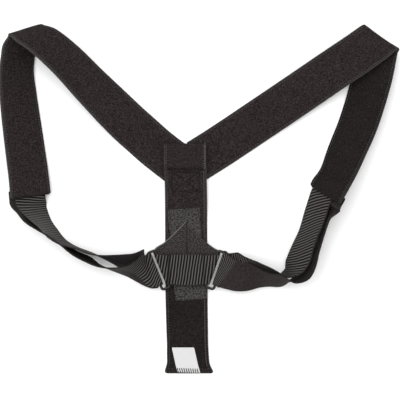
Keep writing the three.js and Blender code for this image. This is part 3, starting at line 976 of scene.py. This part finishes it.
# %% Stitch tree
def stitch_tree():
    tree = bpy.data.node_groups.new("stitches", "GeometryNodeTree")
    sockets = tree.interface
    sockets.new_socket("Line", in_out="INPUT", socket_type="NodeSocketGeometry")
    for title in ("Pitch", "Length", "Thread"):
        sockets.new_socket(title, in_out="INPUT", socket_type="NodeSocketFloat")
    sockets.new_socket("Seed", in_out="INPUT", socket_type="NodeSocketInt")
    sockets.new_socket("Finish", in_out="INPUT", socket_type="NodeSocketMaterial")
    sockets.new_socket("Stitches", in_out="OUTPUT", socket_type="NodeSocketGeometry")
    sewing = Graph(tree)
    entry = tree.nodes.new("NodeGroupInput")
    given = {socket.name: Wire(sewing, socket) for socket in entry.outputs if socket.name}
    line = sewing.node("GeometryNodeMeshToCurve", None, {"Mesh": given["Line"]})
    cut = {"Curve": line, "Length": given["Pitch"]}
    spaced = sewing.node("GeometryNodeResampleCurve", {"mode": "LENGTH"}, cut)
    along = sewing.node("GeometryNodeInputTangent")
    up = sewing.node("GeometryNodeInputNamedAttribute", {"data_type": "FLOAT_VECTOR"}, {"Name": "up"})
    facing = sewing.node("FunctionNodeAlignRotationToVector", {"axis": "X"}, {"Vector": along})
    turned = {"Rotation": facing, "Vector": up}
    upright = sewing.node("FunctionNodeAlignRotationToVector", {"axis": "Z", "pivot_axis": "X"}, turned)
    uneven = {"Min": 0.8, "Max": 1.15, "Seed": given["Seed"]}
    vary = sewing.node("FunctionNodeRandomValue", {"data_type": "FLOAT"}, uneven, output=1)
    size = {0: given["Length"] * vary, 1: given["Thread"], 2: given["Thread"]}
    scale = sewing.node("ShaderNodeCombineXYZ", None, size)
    thread = sewing.node("GeometryNodeMeshIcoSphere", None, {"Radius": 0.5, "Subdivisions": 1})
    each = {"Points": spaced, "Instance": thread, "Rotation": upright, "Scale": scale}
    placed = sewing.node("GeometryNodeInstanceOnPoints", None, each)
    real = sewing.node("GeometryNodeRealizeInstances", None, {"Geometry": placed})
    dress = {"Geometry": real, "Material": given["Finish"]}
    dressed = sewing.node("GeometryNodeSetMaterial", None, dress)
    sewing.node("NodeGroupOutput", None, {"Stitches": dressed})
    return tree


STITCHES = stitch_tree()
identifiers = {item.name: item.identifier for item in STITCHES.interface.items_tree}
print("stitch tree has", len(STITCHES.nodes), "nodes")


# %% Sewing along lines
# pitch, length and thickness of the stitches, in mm
STITCH_SIZES = {
    "edge": (3.2, 2.6, 0.75),
    "box": (2.8, 2.2, 0.75),
    "flap": (2.6, 2.3, 0.8),
    "right_edge": (2.2, 2.4, 0.9),
    "hem": (1.2, 1.4, 0.5),
    "label": (1.0, 1.6, 1.3),
    "hooks": (1.6, 0.9, 0.6),
    "border": (2.6, 2.0, 0.5),
}


def sew(name, lines, finish, size):
    """Sews along each line, which is a list of points and the directions of the face there."""
    verts = []
    ups = []
    edges = []
    for line in lines:
        edges += [(len(verts) + k, len(verts) + k + 1) for k in range(len(line) - 1)]
        verts += [point for point, _ in line]
        ups += [tuple(up) for _, up in line]
    mesh = bpy.data.meshes.new(name)
    mesh.from_pydata(verts, edges, [])
    layer = mesh.attributes.new("up", "FLOAT_VECTOR", "POINT")
    layer.data.foreach_set("vector", np.array(ups, dtype=np.float32).ravel())
    piece = bpy.data.objects.new(name, mesh)
    bpy.context.collection.objects.link(piece)
    modifier = piece.modifiers.new("stitches", "NODES")
    modifier.node_group = STITCHES
    pitch, length, thread = (value * MM for value in STITCH_SIZES[size])
    values = {"Pitch": pitch, "Length": length, "Thread": thread, "Seed": 7, "Finish": finish}
    for title, value in values.items():
        modifier[identifiers[title]] = value
    evaluated = piece.evaluated_get(bpy.context.evaluated_depsgraph_get())
    plain = bpy.data.meshes.new_from_object(evaluated)
    piece.modifiers.clear()
    piece.data = plain
    plain.shade_smooth()
    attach(piece, "root")
    print(name, "has", len(plain.polygons), "faces")


def line_through(run, corners, lift, step=2 * MM):
    """A line through corners, each a distance along the strap and a place across it."""
    line = []
    facing = math.copysign(1, lift)
    for (d0, a0), (d1, a1) in zip(corners, corners[1:]):
        count = max(math.ceil(math.hypot(d1 - d0, a1 - a0) / step), 1)
        for k in range(count):
            spot = d0 + (d1 - d0) * k / count
            line.append((run.point(spot, a0 + (a1 - a0) * k / count, lift), run.normal(spot) * facing))
    line.append((run.point(d1, a1, lift), run.normal(d1) * facing))
    return line


print("kinds of stitches:", len(STITCH_SIZES))


# %% Threads
def thread_finish(name, dark, light):
    thread = Finish(name)
    body = thread.node("ShaderNodeTexCoord", output="Object")
    tone = thread.mix(thread.noise(body, 0.8 * MM), dark, light)
    normal = thread.bump(thread.noise(body, 0.3 * MM), 0.1 * MM)
    return thread.surface(base_color=tone, roughness=0.7, specular_ior_level=2 * CLOTH_SHINE, normal=normal)


dark_thread = thread_finish("dark_thread", grey(8, 2), grey(22, 3))
grey_thread = thread_finish("grey_thread", grey(52, 3), grey(84, 3))
pale_thread = thread_finish("pale_thread", grey(92, 3), grey(128, 3))
print("threads:", dark_thread.name, grey_thread.name, pale_thread.name)

# %% Edge seams of the padded straps
SEAM_LIFT = 1.5 * MM
END_MARGIN = 3 * MM


def edge_seams(name):
    run = runs[name]
    lines = []
    for across in (SEAM_INSET - run.half, run.half - SEAM_INSET):
        ends = [(END_MARGIN, across), (run.length - END_MARGIN, across)]
        lines += [line_through(run, ends, lift) for lift in (SEAM_LIFT, -SEAM_LIFT)]
    sew(f"{name}_seams", lines, grey_thread, "edge")


for name in runs:
    edge_seams(name)

# %% [markdown]
# ## Seams in the middle of the back
# Threads lie in the grooves of the box and its cross. The turned-over top has a paler thread along its
# right-hand edge. An overlock of upright strokes runs along the hem and takes the label's lower edge too.

# %% Box, cross and turned-over top
FLAP_EDGE_INSET = 1.6 * MM
FLAP_EDGE_ENDS = (1 * MM, 29 * MM)
RIGHT_LINE_INSET = 3.8 * MM


def box_and_cross():
    top, low = BOX_TOP, BOX_TOP + BOX_LONG
    left, right = -BOX_HALF, BOX_HALF
    box = [(top, left), (top, right), (low, right), (low, left), (top, left)]
    crosses = [[(top, left), (low, right)], [(top, right), (low, left)]]
    lines = [line_through(spine, corners, -FOAM_HALF_THICK) for corners in [box, *crosses]]
    flap = [(BOX_GAP, SEAM_INSET - spine.half), (BOX_GAP, spine.half - SEAM_INSET)]
    lines.append(line_through(spine, flap, FOAM_HALF_THICK))
    sew("box_and_cross", lines, dark_thread, "box")


def right_edge():
    """On the turned-over top, then below it, where the visible face is the lower one."""
    flap = [(end, FLAP_EDGE_INSET - spine.half) for end in FLAP_EDGE_ENDS]
    upper = line_through(spine, flap, 0.9 * FOAM_HALF_THICK)
    sew("flap_edge_stitches", [upper], pale_thread, "flap")
    ends = (BOX_TOP, spine.length - 2 * HEM_DEPTH)
    below = [(end, RIGHT_LINE_INSET - spine.half) for end in ends]
    lower = line_through(spine, below, -0.95 * FOAM_HALF_THICK)
    sew("right_edge_line", [lower], grey_thread, "right_edge")


box_and_cross()
right_edge()

# %% Overlock of the hem and of the label
STROKE_PITCH = 2.6 * MM
OVERLOCK_LIFT = 2.3 * MM


def strokes(run, low, high, half, lift):
    """Upright strokes side by side along an edge."""
    places = [-half + k * STROKE_PITCH for k in range(int(2 * half / STROKE_PITCH) + 1)]
    return [line_through(run, [(low, place), (high, place)], lift, step=1 * MM) for place in places]


end = spine.length - 0.8 * MM
hem = strokes(spine, end - HEM_DEPTH, end, spine.half - 1.5 * MM, -OVERLOCK_LIFT)
sew("hem_overlock", hem, grey_thread, "hem")
end = label.length - 0.4 * MM
whip = strokes(label, end - 4.5 * MM, end, label.half - 1.0 * MM, 0.6 * MM)
sew("label_overlock", whip, dark_thread, "label")

# %% [markdown]
# ## Hooks of the grip patch
# The patch has rows of small stiff hooks. The stitch tree makes them too: its lines run across the patch,
# and each thread is a short one that stands a little out of the face. A seam runs round its border.

# %% Hooks and border of the grip patch
HOOK_MARGIN = 2 * MM
ROW_PITCH = 1.6 * MM
BORDER_INSET = 1.2 * MM
HOOK_LIFT = PATCH_HALF_THICK + 0.1 * MM
hook_thread = thread_finish("hook_thread", grey(24, 3), grey(96, 4))


def grip_hooks():
    side = patch.half - HOOK_MARGIN
    lines = []
    for k in range(int((patch.length - 2 * HOOK_MARGIN) / ROW_PITCH) + 1):
        row = HOOK_MARGIN + k * ROW_PITCH
        lines.append(line_through(patch, [(row, -side), (row, side)], HOOK_LIFT, step=8 * MM))
    sew("grip_hooks", lines, hook_thread, "hooks")


def patch_border():
    high, low = BORDER_INSET, patch.length - BORDER_INSET
    side = patch.half - BORDER_INSET
    border = [(high, -side), (high, side), (low, side), (low, -side), (high, -side)]
    sew("patch_border", [line_through(patch, border, HOOK_LIFT)], dark_thread, "border")


grip_hooks()
patch_border()
